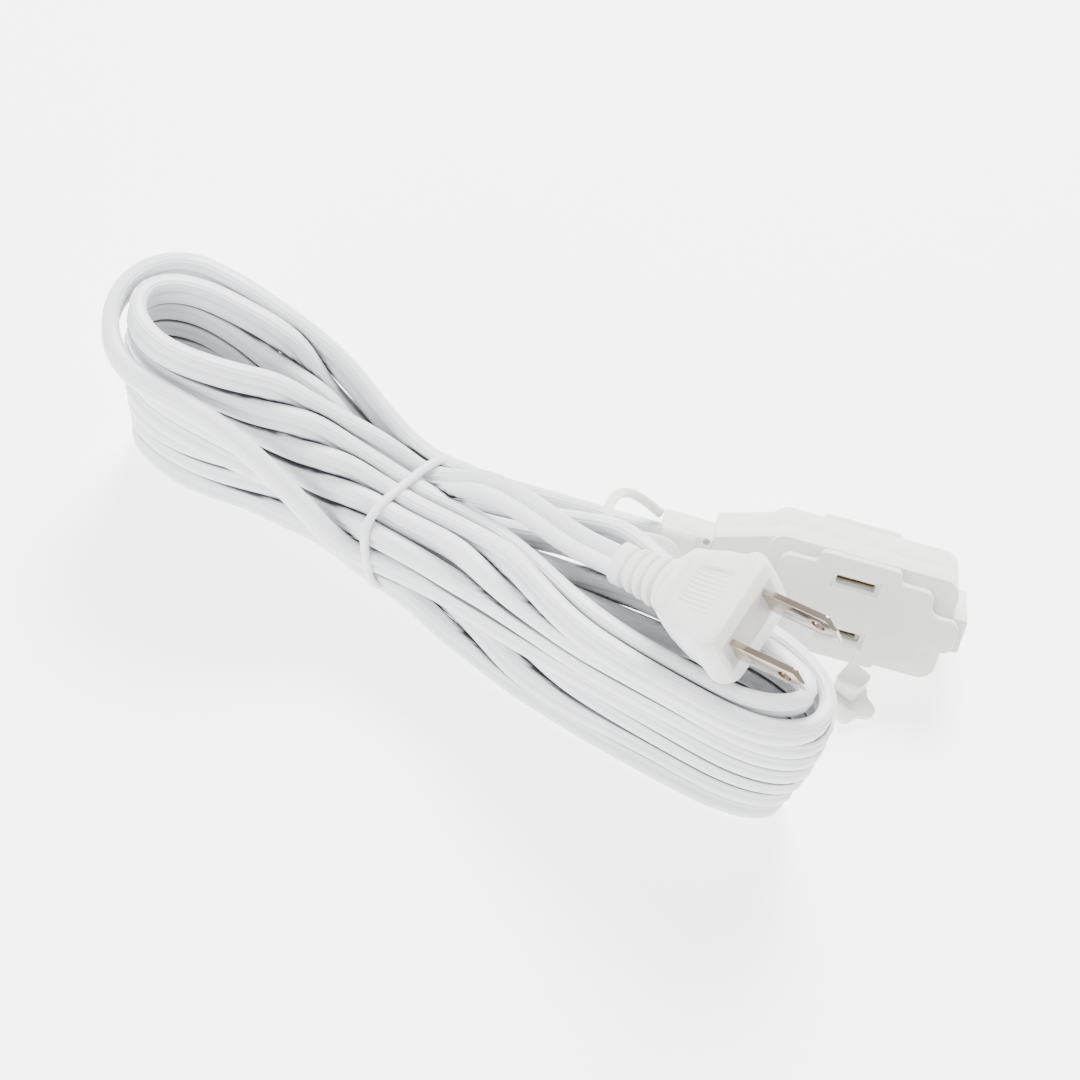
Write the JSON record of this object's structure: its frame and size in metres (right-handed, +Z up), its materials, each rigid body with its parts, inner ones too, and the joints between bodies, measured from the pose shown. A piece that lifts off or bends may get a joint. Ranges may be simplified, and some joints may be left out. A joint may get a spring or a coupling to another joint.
{
  "type": "indoor extension cord",
  "caption": "Household extension cord: polarised two-blade plug, flat two-core cord tied in a hank, and a two-faced tap with sliding outlet covers and a tethered cap.",
  "frame": {"origin": "below the middle of the tap, on the surface the cord and tap lie on", "axes": "+X along the tap towards its free end, +Z up, -Y to the side its front outlet leans back from"},
  "size_m": [0.2009, 0.077, 0.0777],
  "materials": {
    "case_plastic": "satin moulded",
    "cover_plastic": "satin moulded",
    "plug_plastic": "satin moulded, finely grained",
    "cord_pvc": "soft satin PVC with fine ridges",
    "plated_blade": "bright nickel plate",
    "contact_brass": "rolled brass strip",
    "core_insulation": "satin",
    "carrier_plastic": "satin",
    "tie_plastic": "satin",
    "cap_plastic": "satin moulded"
  },
  "bodies": {
    "tap": {"tap_shell_front": "case_plastic", "tap_shell_rear": "case_plastic", "tap_end_block": "case_plastic", "tap_neck": "case_plastic", "tap_collar": "case_plastic", "contact_neutral": "contact_brass", "contact_line": "contact_brass", "tap_lead_neutral": "core_insulation", "tap_lead_line": "core_insulation", "cord_tap_end": "cord_pvc", "plug_body": "plug_plastic", "blade_carrier": "carrier_plastic", "blade_neutral": "plated_blade", "blade_line": "plated_blade", "crimp_neutral": "contact_brass", "crimp_line": "contact_brass", "plug_lead_neutral": "core_insulation", "plug_lead_line": "core_insulation", "plug_relief": "plug_plastic", "cord_plug_end": "cord_pvc", "cord_hank": "cord_pvc", "hank_tie": "tie_plastic", "cord_tap_lead": "cord_pvc", "cord_plug_lead": "cord_pvc", "safety_cap": "cap_plastic", "cap_strap": "cap_plastic"},
    "front_cover": {"cover_front": "cover_plastic", "rail_front": "cover_plastic"},
    "rear_cover": {"cover_rear": "cover_plastic", "rail_rear": "cover_plastic"}
  },
  "joints": [
    {"name": "front_cover_slide", "type": "slide", "parent": "tap", "child": "front_cover", "axis": [1, 0, 0], "range_m": [0, 0.0095]},
    {"name": "rear_cover_slide", "type": "slide", "parent": "tap", "child": "rear_cover", "axis": [1, 0, 0], "range_m": [0, 0.0095]}
  ]
}
